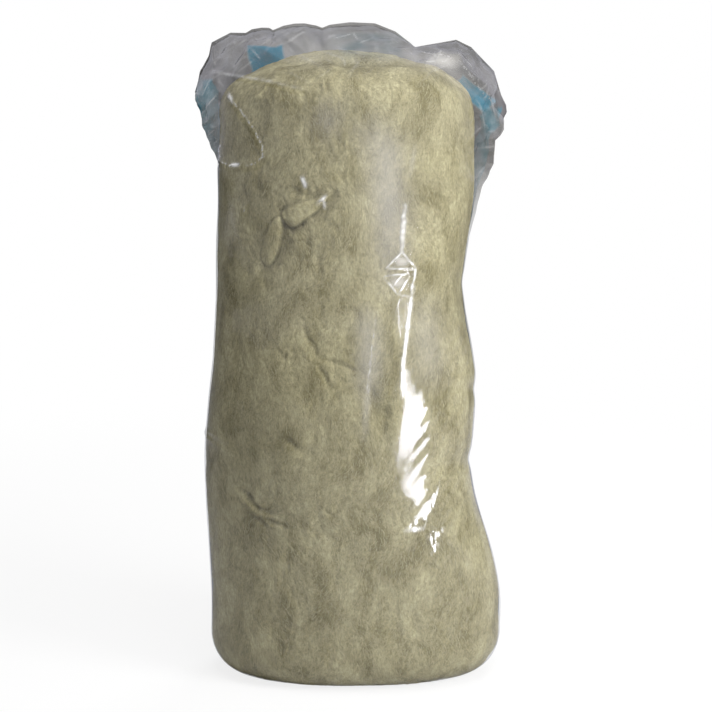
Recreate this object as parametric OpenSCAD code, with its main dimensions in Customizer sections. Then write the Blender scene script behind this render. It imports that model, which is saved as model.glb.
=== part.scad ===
// Bag of loose mineral wool: a clear film sack, welded shut across its top, standing on its filled base.
// Millimetres, +Z up, front towards -Y, origin on the floor under the middle of the sack.

/* [Wool body] */
// Height of the wool from its underside to the middle of its crown
wool_h = 1140; // [1000:5:1300]
// Width of the body where it has settled on the floor
base_w = 536; // [480:2:540]
// Depth of the body where it has settled
base_d = 340; // [300:2:380]
// Sideways shift of the settled base
base_shift = 10; // [-10:1:10]
// Height of the settled base
base_z = 120; // [110:2:160]
// Width over the hip
hip_w = 486; // [440:2:510]
// Depth over the hip
hip_d = 380; // [330:2:410]
// Sideways shift of the hip
hip_shift = -21; // [-24:1:10]
// Height of the hip
hip_z = 380; // [330:5:430]
// Width over the belly
belly_w = 480; // [440:2:510]
// Depth over the belly
belly_d = 390; // [340:2:420]
// Sideways shift of the belly
belly_shift = -12; // [-20:1:10]
// Height of the belly
belly_z = 545; // [500:5:590]
// Width at the waist
waist_w = 446; // [410:2:480]
// Depth at the waist
waist_d = 380; // [330:2:410]
// Sideways shift of the waist
waist_shift = -17; // [-20:1:10]
// Height of the waist
waist_z = 700; // [660:5:740]
// Width of the shoulder
shoulder_w = 460; // [420:2:490]
// Depth of the shoulder
shoulder_d = 352; // [310:2:390]
// Sideways shift of the shoulder
shoulder_shift = -6; // [-15:1:10]
// Height of the shoulder
shoulder_z = 920; // [860:5:950]

/* [Wool edges] */
// Rounding of the foot, inwards
foot_in = 62; // [40:1:80]
// Rounding of the foot, upwards
foot_up = 74; // [50:1:100]
// Rounding of the crown, inwards
crown_in = 96; // [60:1:110]
// Rounding of the crown, downwards
crown_down = 80; // [60:1:110]
// Rise of the crown's middle above its rounded edge
crown_rise = 22; // [10:1:40]
// Squareness of the body seen from above, where 2 is an ellipse
plan_power = 2.25; // [2:0.05:2.8]

/* [Film sack] */
// Thickness of the film
film_t = 0.2; // [0.15:0.05:0.5]
// Room between the film and the wool
film_gap = 0.3; // [0.2:0.1:1]
// Height of the welded seam above the wool's crown
headroom = 40; // [30:1:80]
// Height of the weld
weld_h = 10; // [6:1:16]
// How far the weld stands behind the sack's middle
weld_back = 70; // [20:1:100]
// Width across the tips of the two ears
ear_span = 560; // [556:2:620]
// How far the left ear's tip hangs below the weld's middle
left_droop = 121; // [100:1:160]
// How far the right ear's tip hangs below the weld's middle
right_droop = 150; // [100:1:160]
// Place of the deep dip in the weld's line, between its hump and the right ear
dip_x = 117; // [90:1:140]
// Depth of that dip
dip_deep = 42; // [0:1:52]
// Depth of the weld's line over the right ear, below its even droop
crest_deep = 20; // [0:1:30]
// Depth of the shallow dips in the weld's line to the left of its hump
slack_deep = 9; // [0:1:16]
// How far the left ear's upper corner stands above the line's even droop
corner_up = 16; // [0:1:24]
// Height at which the left ear leaves the body
left_ear_z = 925; // [850:5:960]
// Height at which the right ear leaves the body
right_ear_z = 800; // [760:5:900]

/* [Hidden] */
// Points round a section, a multiple of 4 so that both side folds have one
around = 48;
body_rings = 24;
foot_rings = 6;
header_rings = 12;
crown_rings = 7;
// How sharply the weld's line turns down towards the ears
droop_power = 7;
// How quickly the dips in the weld's line fade out below it
dip_power = 5;
// Solid fold edge at the ears' outer edges
fold_in = 8;
// Height over the wool's shoulder where the film starts to close
header_lead = 24;
crown_z = wool_h - crown_down - crown_rise;
weld_z = wool_h + headroom;
header_z = crown_z + header_lead;
header_h = weld_z - weld_h - header_z;

// Key sections of the body from the floor up: height, width, depth, sideways shift.
sections = [
  [base_z, base_w, base_d, base_shift],
  [hip_z, hip_w, hip_d, hip_shift],
  [belly_z, belly_w, belly_d, belly_shift],
  [waist_z, waist_w, waist_d, waist_shift],
  [shoulder_z, shoulder_w, shoulder_d, shoulder_shift]
];
top_section = len(sections) - 1;

// Slope of value c at key section i, from its two neighbours.
function slope(i, c) =
  i == 0 || i == top_section ? 0 :
  (sections[i + 1][c] - sections[i - 1][c]) / (sections[i + 1][0] - sections[i - 1][0]);

function section_below(z, i = 0) =
  i >= top_section - 1 || z < sections[i + 1][0] ? i : section_below(z, i + 1);

// Value c of the body at height z, on a smooth curve through the key sections.
function body(z, c) =
  z <= sections[0][0] ? sections[0][c] :
  z >= sections[top_section][0] ? sections[top_section][c] :
  let (i = section_below(z), p = sections[i], q = sections[i + 1],
       run = q[0] - p[0], t = (z - p[0]) / run)
  p[c] * (2 * t * t * t - 3 * t * t + 1) + q[c] * (3 * t * t - 2 * t * t * t)
  + run * slope(i, c) * (t * t * t - 2 * t * t + t) + run * slope(i + 1, c) * (t * t * t - t * t);

// Half-width to one side, where side is 1 to the right and -1 to the left, and half-depth.
function half_side(z, side) = body(z, 1) / 2 + side * body(z, 3);
function half_deep(z) = body(z, 2) / 2;

// Share of a half-width or half-depth at an angle on the squared-off section.
function plan(v) = sign(v) * pow(abs(v), 2 / plan_power);

// Heights of the foot's rings, and how far the rounded foot is drawn in at height z.
function foot_height(k) = foot_up * (1 - cos(90 * k / foot_rings));
function foot_inset(z) =
  z >= foot_up ? 0 : foot_in * (1 - sqrt(max(0, 1 - pow(1 - z / foot_up, 2))));
function body_height(k) = foot_up + (crown_z - foot_up) * k / body_rings;

// The foot seen from inside: its underside is raised by lift, and its top stays.
function lifted(z, lift) = z >= foot_up ? z : lift + (foot_up - lift) * z / foot_up;

// One ring of the wool at height z, drawn in by inset.
function wool_ring(z, inset) = let (in = inset + film_t + film_gap)
  [for (i = [0 : around - 1]) let (c = cos(360 * i / around), s = sin(360 * i / around)) [
    (half_side(z, sign(c)) - in) * plan(c),
    (half_deep(z) - in) * plan(s),
    lifted(z, film_t + film_gap)
  ]];

function wool_rings() = concat(
  [for (k = [0 : foot_rings - 1]) wool_ring(foot_height(k), foot_inset(foot_height(k)))],
  [for (k = [0 : body_rings]) wool_ring(body_height(k), 0)],
  [for (k = [1 : crown_rings]) let (t = 90 * k / crown_rings)
    wool_ring(crown_z + crown_down * sin(t), crown_in * (1 - cos(t)))]
);

// The ears: height of an ear's tip, height of the sack's side fold on the ring whose middle is at height z,
// and how far out that fold lies.
function ear_tip_z(side) = weld_z - (side > 0 ? right_droop : left_droop);
function ear_start_z(side) = side > 0 ? right_ear_z : left_ear_z;
function fold_z(z, side) =
  z <= shoulder_z ? z :
  shoulder_z + (ear_tip_z(side) - shoulder_z) * (z - shoulder_z) / (weld_z - shoulder_z);
function fold_x(z, side) = let (f = fold_z(z, side), start = ear_start_z(side), near = half_side(start, side))
  f <= start ? half_side(f, side) :
  max(half_side(f, side), near + (ear_span / 2 - near) * (f - start) / (ear_tip_z(side) - start));

// Dips in the weld's line from the left ear's tip to the right one's: place across, depth below the even droop.
weld_dips = [
  [-ear_span / 2, 0],
  [-ear_span / 2 + 31, -corner_up],
  [-ear_span / 2 + 66, 0],
  [-ear_span / 2 + 100, slack_deep],
  [-127, slack_deep],
  [-82, 0],
  [-45, slack_deep],
  [0, 0],
  [dip_x - 70, 2],
  [dip_x - 35, dip_deep * 0.4],
  [dip_x, dip_deep],
  [dip_x + 28, dip_deep * 0.9],
  [ear_span / 2 - 85, crest_deep],
  [ear_span / 2 - 60, crest_deep],
  [ear_span / 2 - 20, 0]
];

// Share of those dips at height z: whole at the weld, none at the shoulder.
function dip_share(z) = pow(max(0, (z - shoulder_z) / (weld_z - shoulder_z)), dip_power);

// One point of the film's outer face at an angle round the sack: an elliptical section with half-width wide and
// half-depth deep, pulled out straight to its side fold where that lies further out.
function film_point(angle, z, wide, deep, back, fold, drop) =
  let (c = cos(angle), s = sin(angle),
       touch = fold > wide ? wide / fold : 1,
       on_fold = abs(c) > touch,
       edge = sqrt(max(0, 1 - touch * touch)),
       t = on_fold ? 1 - acos(abs(c)) / acos(touch) : 0,
       x = on_fold ? wide * plan(touch) * (1 - t) + fold * t : wide * plan(abs(c)),
       y = on_fold ? deep * plan(edge) * (1 - t) : deep * plan(abs(s)))
  [sign(c) * x, back + sign(s) * y,
   z - drop * pow(x / fold, droop_power) - dip_share(z) * lookup(sign(c) * x / fold * ear_span / 2, weld_dips)];

function film_ring(z, inset, deep, back) =
  [for (i = [0 : around - 1]) let (angle = 360 * i / around, side = sign(cos(angle)))
    film_point(angle, z, half_side(z, side) - inset, deep - inset, back, fold_x(z, side) - inset,
               z - fold_z(z, side))];

// The outer face from the floor to the weld's upper edge.
film_outer = concat(
  [for (k = [0 : foot_rings - 1]) let (z = foot_height(k)) film_ring(z, foot_inset(z), half_deep(z), 0)],
  [for (k = [0 : body_rings]) let (z = body_height(k)) film_ring(z, 0, half_deep(z), 0)],
  [for (k = [0 : header_rings]) let (t = sin(90 * k / header_rings))
    film_ring(header_z + header_h * t, 0, film_t + (half_deep(header_z) - film_t) * cos(90 * k / header_rings),
              weld_back * t * t * t)],
  [film_ring(weld_z, 0, film_t, weld_back)]
);

// A point of the inner face: one film thickness in along the outer face's normal, more just under the weld, or
// at a side fold a little way in between the two layers that meet there.
function inner_point(k, i) =
  let (here = film_outer[k][i], ahead = film_outer[k][(i + 1) % around],
       behind = film_outer[k][(i + around - 1) % around],
       up = film_outer[k + 1][i] - film_outer[max(0, k - 1)][i],
       across = cross(ahead - behind, up), middle = (ahead + behind) / 2,
       spare = max(0, abs(here[0]) - half_side(here[2], sign(here[0]))),
       inward = film_t + min(fold_in, spare / 2),
       thick = film_t * (k > len(film_outer) - 5 ? 3 : 1))
  i % (around / 2) == 0
    ? here + (middle - here) * min(0.9, inward / norm(middle - here))
    : here - across * thick / norm(across);

// The inner face, which ends under the weld.
film_inner = [for (k = [0 : len(film_outer) - 4])
  [for (i = [0 : around - 1]) let (p = inner_point(k, i)) [p[0], p[1], max(p[2], film_t)]]];

// Triangles between stacked rings, with the first ring closed by one flat face.
function skin_faces(rings) = concat(
  [[for (i = [0 : around - 1]) i]],
  [for (k = [0 : rings - 2], i = [0 : around - 1]) let (j = (i + 1) % around)
    [k * around + i, (k + 1) * around + i, (k + 1) * around + j]],
  [for (k = [0 : rings - 2], i = [0 : around - 1]) let (j = (i + 1) % around)
    [k * around + i, (k + 1) * around + j, k * around + j]]
);

// Closes the last ring by a strip from its back half to its front half.
function strip_faces(first) = concat(
  [for (i = [0 : around / 2 - 1]) [first + i, first + (around - i) % around, first + i + 1]],
  [for (i = [0 : around / 2 - 2]) [first + i + 1, first + (around - i) % around, first + around - i - 1]]
);

// Closes the last ring by triangles to a point above it.
function fan_faces(first, apex) = [for (i = [0 : around - 1]) [first + i, apex, first + (i + 1) % around]];

module stacked(rings) {
  points = [for (r = rings) each r];
  polyhedron(points, concat(skin_faces(len(rings)), strip_faces(len(points) - around)), convexity = 8);
}

// The loose wool, pressed by the sack into one soft body.
module wool_fill() {
  rings = wool_rings();
  points = concat([for (r = rings) each r], [[shoulder_shift, 0, wool_h]]);
  apex = len(points) - 1;
  color([0.62, 0.59, 0.46])
    polyhedron(points, concat(skin_faces(len(rings)), fan_faces(apex - around, apex)), convexity = 6);
}

// The film: a tube of clear film round the wool, flattened to a weld whose corners stand out as ears.
module film_bag() {
  color([0.8, 0.86, 0.88, 0.35]) difference() {
    stacked(film_outer);
    stacked(film_inner);
  }
}

wool_fill();
film_bag();
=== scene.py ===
import math
from functools import partial

import bpy
import numpy as np
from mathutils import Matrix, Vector


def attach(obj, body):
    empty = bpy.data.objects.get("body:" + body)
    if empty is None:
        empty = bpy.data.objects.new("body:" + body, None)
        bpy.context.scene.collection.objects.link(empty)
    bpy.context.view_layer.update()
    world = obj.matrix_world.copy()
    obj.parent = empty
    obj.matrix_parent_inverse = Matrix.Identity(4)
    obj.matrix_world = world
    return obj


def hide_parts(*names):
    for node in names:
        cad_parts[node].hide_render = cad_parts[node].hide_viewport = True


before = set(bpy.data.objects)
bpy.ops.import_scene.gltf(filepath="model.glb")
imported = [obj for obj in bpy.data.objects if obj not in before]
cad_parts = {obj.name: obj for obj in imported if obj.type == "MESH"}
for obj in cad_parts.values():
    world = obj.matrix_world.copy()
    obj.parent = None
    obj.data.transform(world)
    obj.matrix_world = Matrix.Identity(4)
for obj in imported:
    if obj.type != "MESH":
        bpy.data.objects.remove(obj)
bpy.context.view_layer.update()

scene = bpy.context.scene
scene.view_settings.view_transform = "Standard"


# camera: the sack seen from the front and a little above

view = {"target": (0.011, 0.0, 0.584), "distance": 3.3, "above": 10.0, "lens": 92.0}

aim = Vector(view["target"])
tilt = math.radians(view["above"])
camera = bpy.data.objects.new("camera", bpy.data.cameras.new("camera"))
camera.location = aim + view["distance"] * Vector((0, -math.cos(tilt), math.sin(tilt)))
camera.rotation_euler = (aim - camera.location).to_track_quat("-Z", "Y").to_euler()
camera.data.lens = view["lens"]
camera.data.sensor_width = 36.0
scene.collection.objects.link(camera)
scene.camera = camera
print("camera set")


# small shape tools on arrays of points

def cellHash(ix, iy, iz, seed):
    h = (ix * 374761393 + iy * 668265263 + iz * 1274126177 + seed * 974634761) & 0xFFFFFFFF
    h = ((h ^ (h >> 13)) * 1103515245) & 0xFFFFFFFF
    return (h ^ (h >> 16)) & 0xFFFFFFFF


def softNoise(x, y, z, seed):
    # smooth lattice noise, about -1 to 1
    cell = [np.floor(v).astype(np.int64) for v in (x, y, z)]
    part = [v - c for v, c in zip((x, y, z), cell)]
    ease = [p * p * p * (p * (p * 6 - 15) + 10) for p in part]
    total = np.zeros_like(part[0])
    for dx in (0, 1):
        for dy in (0, 1):
            for dz in (0, 1):
                h = cellHash(cell[0] + dx, cell[1] + dy, cell[2] + dz, seed)
                gx = (h & 1023) / 511.5 - 1
                gy = ((h >> 10) & 1023) / 511.5 - 1
                gz = ((h >> 20) & 1023) / 511.5 - 1
                pull = gx * (part[0] - dx) + gy * (part[1] - dy) + gz * (part[2] - dz)
                total += pull * ((ease[0] if dx else 1 - ease[0]) * (ease[1] if dy else 1 - ease[1])
                                 * (ease[2] if dz else 1 - ease[2]))
    return total * 1.3


def layered(x, y, z, seed, layers):
    total = 0.0
    for k in range(layers):
        total = total + softNoise(x * 2 ** k, y * 2 ** k, z * 2 ** k, seed + 17 * k) * 0.5 ** k
    return total


def named(keys, rows):
    # rows as dictionaries: the names stand once, and a row may leave out its last values
    return [dict(zip(keys.split(), row)) for row in rows]


def grain(at, size, seed, layers=1):
    # noise of one grain size, or of one for each axis
    sizes = size if isinstance(size, tuple) else (size, size, size)
    return layered(*(v / s for v, s in zip(at, sizes)), seed, layers)


def foldWave(v):
    # sharp folds with flat sides, -1 to 1
    return 4 * np.abs(v - np.floor(v) - 0.5) - 1


def smooth(v, low, high):
    t = np.clip((v - low) / (high - low), 0, 1)
    return t * t * (3 - 2 * t)


def bump(v, width):
    return np.exp(-(v / width) ** 2)


def pathDistance(x, z, points):
    # distance to a line of points, and how far along it is, 0 to 1
    best = np.full(x.shape, 1e9)
    along = np.zeros(x.shape)
    legs = len(points) - 1
    for k in range(legs):
        ax, az = points[k]
        bx, bz = points[k + 1]
        dx, dz = bx - ax, bz - az
        t = np.clip(((x - ax) * dx + (z - az) * dz) / (dx * dx + dz * dz), 0, 1)
        gap = np.hypot(x - ax - t * dx, z - az - t * dz)
        near = gap < best
        best = np.where(near, gap, best)
        along = np.where(near, (k + t) / legs, along)
    return best, along


def endFade(along, cut, power):
    # strong in the middle of a line, weak at its ends
    return np.sin(np.clip(along, cut, 1 - cut) * math.pi) ** power


def gridNormals(p):
    across = np.roll(p, -1, axis=1) - np.roll(p, 1, axis=1)
    up = np.empty_like(p)
    up[1:-1] = p[2:] - p[:-2]
    up[0], up[-1] = p[1] - p[0], p[-1] - p[-2]
    n = np.cross(across, up)
    return n / np.maximum(np.linalg.norm(n, axis=2, keepdims=True), 1e-12)


def weldFaces(edgeX, start):
    # a narrow strip from the back layer's edge to the front layer's, left corner to right
    left = int(np.argmin(edgeX))
    back, front = list(range(left, -1, -1)), list(range(left, len(edgeX))) + [0]
    faces, a, b = [], 0, 0
    while a < len(front) - 1 or b < len(back) - 1:
        frontLeft, backLeft = a < len(front) - 1, b < len(back) - 1
        frontNext = not backLeft or (frontLeft and edgeX[front[a + 1]] < edgeX[back[b + 1]])
        face = [front[a], front[a + 1] if frontNext else back[b + 1], back[b]]
        a, b = a + frontNext, b + (not frontNext)
        if len(set(face)) == 3:
            faces.append([start + corner for corner in face])
    return faces


def gridMesh(name, points, uv, closeTop):
    # rings of points from the floor up, closed round and at the base
    rows, cols = points.shape[:2]
    verts = points.reshape(-1, 3)
    k, i = np.meshgrid(np.arange(rows - 1), np.arange(cols), indexing="ij")
    j = (i + 1) % cols
    quads = [k * cols + i, k * cols + j, (k + 1) * cols + j, (k + 1) * cols + i]
    faces = np.stack(quads, axis=-1).reshape(-1, 4).tolist()
    faces += [[len(verts), (a + 1) % cols, a] for a in range(cols)]
    extra = [points[0].mean(0)]
    top = (rows - 1) * cols
    if closeTop == "point":
        extra.append(points[-1].mean(0))
        faces += [[len(verts) + 1, top + a, top + (a + 1) % cols] for a in range(cols)]
    smoothFaces = len(faces)
    if closeTop == "weld":
        faces += weldFaces(points[-1, :, 0], top)
    mesh = bpy.data.meshes.new(name)
    mesh.from_pydata(verts.tolist() + [e.tolist() for e in extra], [], faces)
    mesh.polygons.foreach_set("use_smooth", np.arange(len(faces)) < smoothFaces)
    layer = mesh.uv_layers.new(name="lay")
    corner = np.empty(len(mesh.loops), dtype=np.int32)
    mesh.loops.foreach_get("vertex_index", corner)
    flat = np.vstack([uv.reshape(-1, 2), np.zeros((len(extra), 2))])
    layer.data.foreach_set("uv", flat[corner].astype(np.float32).ravel())
    piece = bpy.data.objects.new(name, mesh)
    scene.collection.objects.link(piece)
    return piece


def addAttribute(piece, name, values):
    layer = piece.data.attributes.new(name, "FLOAT", "POINT")
    full = np.zeros(len(piece.data.vertices), dtype=np.float32)
    full[:values.size] = values.ravel()
    layer.data.foreach_set("value", full)


# the sack's body, shared by wool and film: the sections that the CAD solids are lofted through

sack = {
    # each section: height, width, depth, shift to the right
    "sections": [(0.120, 0.536, 0.340, 0.010), (0.380, 0.486, 0.380, -0.021), (0.545, 0.480, 0.390, -0.012),
                 (0.700, 0.446, 0.380, -0.017), (0.920, 0.460, 0.352, -0.006)],
    "footIn": 0.062, "footUp": 0.074, "crownIn": 0.096, "crownDown": 0.080, "crownRise": 0.022,
    "woolHeight": 1.140, "weldHeight": 1.180, "weldBand": 0.005, "weldBack": 0.070, "closeAbove": 0.024,
    "planPower": 2.25, "earSpan": 0.560, "leftEar": (0.925, 1.059), "rightEar": (0.800, 1.030),
    # waves of the right edge: height, width, rise
    "sideWaves": [(0.718, 0.020, -0.0025), (0.524, 0.018, -0.0036), (0.441, 0.028, 0.0015), (0.395, 0.016, -0.0036)],
    "lumpSize": 0.16, "lumpHeight": 0.0045, "meanRadius": 0.22,
}


def bodyValue(z, c):
    keys = sack["sections"]
    last = len(keys) - 1
    inner = [(keys[k + 1][c] - keys[k - 1][c]) / (keys[k + 1][0] - keys[k - 1][0]) for k in range(1, last)]
    slopes = [0.0, *inner, 0.0]
    value = np.where(z < keys[0][0], keys[0][c], keys[last][c]).astype(float)
    for k in range(last):
        p, q = keys[k], keys[k + 1]
        run = q[0] - p[0]
        t = np.clip((z - p[0]) / run, 0, 1)
        curve = (p[c] * (2 * t ** 3 - 3 * t ** 2 + 1) + q[c] * (3 * t ** 2 - 2 * t ** 3)
                 + run * slopes[k] * (t ** 3 - 2 * t ** 2 + t) + run * slopes[k + 1] * (t ** 3 - t ** 2))
        value = np.where((z >= p[0]) & (z <= q[0]), curve, value)
    return value


def halfSide(z, side):
    return bodyValue(z, 1) / 2 + side * bodyValue(z, 3)


def halfDeep(z):
    return bodyValue(z, 2) / 2


def planShare(v):
    return np.sign(v) * np.abs(v) ** (2 / sack["planPower"])


def footInset(z):
    t = np.clip(1 - z / sack["footUp"], 0, 1)
    return np.where(z >= sack["footUp"], 0, sack["footIn"] * (1 - np.sqrt(np.maximum(0, 1 - t * t))))


def bodyLumps(x, y, z):
    # the soft swellings that wool and film share
    s = sack["lumpSize"]
    lumps = grain((x, y, z), (s, s, 1.4 * s), 5, 2) * sack["lumpHeight"]
    for at, wide, rise in sack["sideWaves"]:
        lumps = lumps + rise * bump(z - at + 0.15 * y, wide) * smooth(x, 0.12, 0.20)
    return lumps * smooth(z, 0.02, 0.14)


crownZ = sack["woolHeight"] - sack["crownDown"] - sack["crownRise"]


def frontAngles(count, frontShare):
    # angles round the sack from +X, with more of them on the front half
    front = int(count * frontShare)
    back = np.linspace(0, math.pi, count - front, endpoint=False)
    return np.concatenate([back, np.linspace(math.pi, 2 * math.pi, front, endpoint=False)])


def layUv(angles, height):
    # the way round, about as long as on the sack, and the height
    shape = (height.shape[0], len(angles))
    around = angles[None, :] * sack["meanRadius"]
    return np.stack([np.broadcast_to(around, shape), np.broadcast_to(height, shape)], axis=-1)


# wool: the pressed mass with its tufts, creases and pits

wool = {
    "around": 500, "frontShare": 0.68, "rows": 350, "footRows": 18, "crownRows": 33, "domeRows": 12, "domeReach": 0.97,
    # extra rows: from, to, how many more
    "dense": [(0.285, 0.400, 0.7), (0.570, 0.690, 0.6), (0.780, 0.940, 1.2)],
    "under": 0.0026, "press": 0.0035, "hold": 0.0012, "holdSoft": 0.0009, "lift": 0.0012, "least": 0.0008,
    "warp": 0.6, "warpSize": 0.11, "twist": 1.1, "twistSize": 0.045,
    "swellSize": 0.080, "swellDepth": 0.0060, "clumpSize": 0.040, "clumpDepth": 0.0018,
    "settle": 0.011, "curlSize": 0.021, "curlDepth": 0.0020, "pitSize": 0.009, "pitDepth": 0.0007,
    "nip": {"at": (-0.232, -0.008, 0.932), "size": 0.035, "deep": 0.0034},
    "leaves": [
        {"at": (-0.074, 0.867), "long": 0.090, "wide": 0.034, "turn": 29, "rise": 0.0070, "ends": (0.22, 0.85)},
        {"at": (-0.134, 0.811), "long": 0.086, "wide": 0.029, "turn": 73, "rise": 0.0070, "ends": (0.35, 0.55)},
    ],
    # creases: a dent along each path, with painted shade along it
    "creases": named("path deep wide shade", [
        ([(-0.206, 0.375), (-0.191, 0.371), (-0.182, 0.364), (-0.173, 0.350), (-0.161, 0.339), (-0.1445, 0.336),
          (-0.128, 0.329)], 0.008, 0.0048),
        ([(-0.194, 0.331), (-0.171, 0.327), (-0.156, 0.315), (-0.142, 0.302)], 0.006, 0.0042, 0.7),
        ([(-0.155, 0.3255), (-0.124, 0.315), (-0.086, 0.3005)], 0.007, 0.0046, 0.8),
        ([(-0.122, 0.480), (-0.104, 0.467), (-0.085, 0.450), (-0.066, 0.439)], 0.007, 0.0052, 0.7),
        ([(-0.225, 0.400), (-0.208, 0.394), (-0.196, 0.412)], 0.004, 0.0036, 0.5),
        ([(-0.091, 0.690), (-0.076, 0.657), (-0.056, 0.618), (-0.040, 0.611), (-0.011, 0.600),
          (0.020, 0.590)], 0.007, 0.0046, 0.55),
        ([(-0.058, 0.614), (-0.052, 0.592), (-0.038, 0.574), (-0.010, 0.520)], 0.004, 0.0050, 0.25),
        ([(-0.135, 0.640), (-0.118, 0.618), (-0.100, 0.606)], 0.004, 0.0050, 0.4),
        ([(-0.118, 0.842), (-0.098, 0.838), (-0.070, 0.842)], 0.004, 0.004, 0.5),
        ([(-0.110, 0.892), (-0.085, 0.898), (-0.062, 0.890)], 0.006, 0.007, 0.7),
        ([(0.036, 0.570), (0.055, 0.520), (0.060, 0.450)], 0.006, 0.016, 0.6),
        ([(-0.210, 0.930), (-0.180, 0.880), (-0.160, 0.830)], 0.003, 0.012, 0.15),
        ([(-0.045, 0.846), (-0.020, 0.832), (-0.006, 0.846)], 0.004, 0.007, 0.35),
        ([(0.040, 1.010), (0.075, 0.985)], 0.004, 0.012, 0.5),
        ([(0.136, 0.334), (0.182, 0.330), (0.214, 0.352)], 0.003, 0.0032, 0.5),
        ([(0.186, 0.388), (0.216, 0.410)], 0.003, 0.0032, 0.4),
        ([(0.168, 0.560), (0.190, 0.562), (0.216, 0.574)], 0.003, 0.0034, 0.35),
    ]),
    # ridges: a rise along each path, with a painted highlight on it
    "ridges": named("path rise wide pale", [
        ([(-0.202, 0.366), (-0.186, 0.350), (-0.162, 0.330), (-0.128, 0.3215)], 0.003, 0.006, 0.9),
        ([(-0.122, 0.468), (-0.100, 0.449), (-0.078, 0.436)], 0.002, 0.010, 0.5),
        ([(-0.016, 0.615), (0.004, 0.602), (0.020, 0.586)], 0.002, 0.004, 0.9),
        ([(-0.092, 0.660), (-0.068, 0.618), (-0.046, 0.598)], 0.002, 0.006, 0.7),
        ([(-0.145, 1.088), (-0.147, 1.068), (-0.159, 1.056), (-0.174, 1.046)], 0.003, 0.0034, 1.0),
    ]),
    # patches: soft areas of painted shade
    "patches": named("at size shade", [
        ((-0.128, 1.052), (0.052, 0.018), 0.40),
        ((-0.182, 0.432), (0.058, 0.085), 0.24),
        ((-0.184, 0.288), (0.056, 0.036), 0.22),
        ((-0.160, 0.870), (0.030, 0.060), 0.20),
        ((-0.075, 0.800), (0.045, 0.022), 0.18),
        ((-0.046, 0.638), (0.030, 0.022), 0.26),
        ((0.165, 0.975), (0.090, 0.140), 0.20),
        ((-0.125, 0.400), (0.080, 0.150), 0.11),
        ((-0.175, 1.025), (0.065, 0.065), 0.20),
    ]),
}


def packedRows(low, high, count, dense):
    # row heights, closer together where the wool has thin creases
    fine = np.linspace(low, high, 2000)
    weight = np.ones_like(fine)
    for start, end, more in dense:
        weight += more * smooth(fine, start - 0.03, start) * (1 - smooth(fine, end, end + 0.03))
    run = np.concatenate([[0], np.cumsum((weight[1:] + weight[:-1]) / 2)])
    return np.interp(np.linspace(0, run[-1], count), run, fine)


def woolGrid(spec):
    angles = frontAngles(spec["around"], spec["frontShare"])
    c, s = np.cos(angles)[None, :], np.sin(angles)[None, :]
    side = np.sign(c)
    footRows, crownRows, domeRows = spec["footRows"], spec["crownRows"], spec["domeRows"]
    foot = sack["footUp"] * (1 - np.cos(np.linspace(0, math.pi / 2, footRows, endpoint=False)))
    bodyRows = spec["rows"] - footRows - crownRows - domeRows
    body = packedRows(sack["footUp"], crownZ, bodyRows, spec["dense"])
    crownTurn = np.linspace(0, math.pi / 2, crownRows + 1)[1:]
    crown = crownZ + sack["crownDown"] * np.sin(crownTurn)
    domeIn = np.linspace(0, spec["domeReach"], domeRows + 1)[1:]
    heights = np.concatenate([foot, body, crown, np.full(domeRows, crown[-1])])[:, None]
    inset = np.concatenate([footInset(foot), np.zeros(bodyRows), sack["crownIn"] * (1 - np.cos(crownTurn)),
                            np.full(domeRows, sack["crownIn"])])[:, None]
    straight = footRows + bodyRows + crownRows
    shrink = np.concatenate([np.ones(straight), 1 - domeIn])[:, None]
    rise = np.concatenate([np.zeros(straight), sack["crownRise"] * (1 - (1 - domeIn) ** 2)])[:, None]
    wide = halfSide(heights, side) - inset - spec["under"]
    deep = halfDeep(heights) - inset - spec["under"]
    x = wide * planShare(c) * shrink + (1 - shrink) * sack["sections"][-1][3]
    y = deep * planShare(s) * shrink
    z = np.broadcast_to(np.maximum(heights, spec["lift"]) + rise, x.shape)
    return np.stack([x, y, z], axis=-1), layUv(angles, z)


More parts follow.
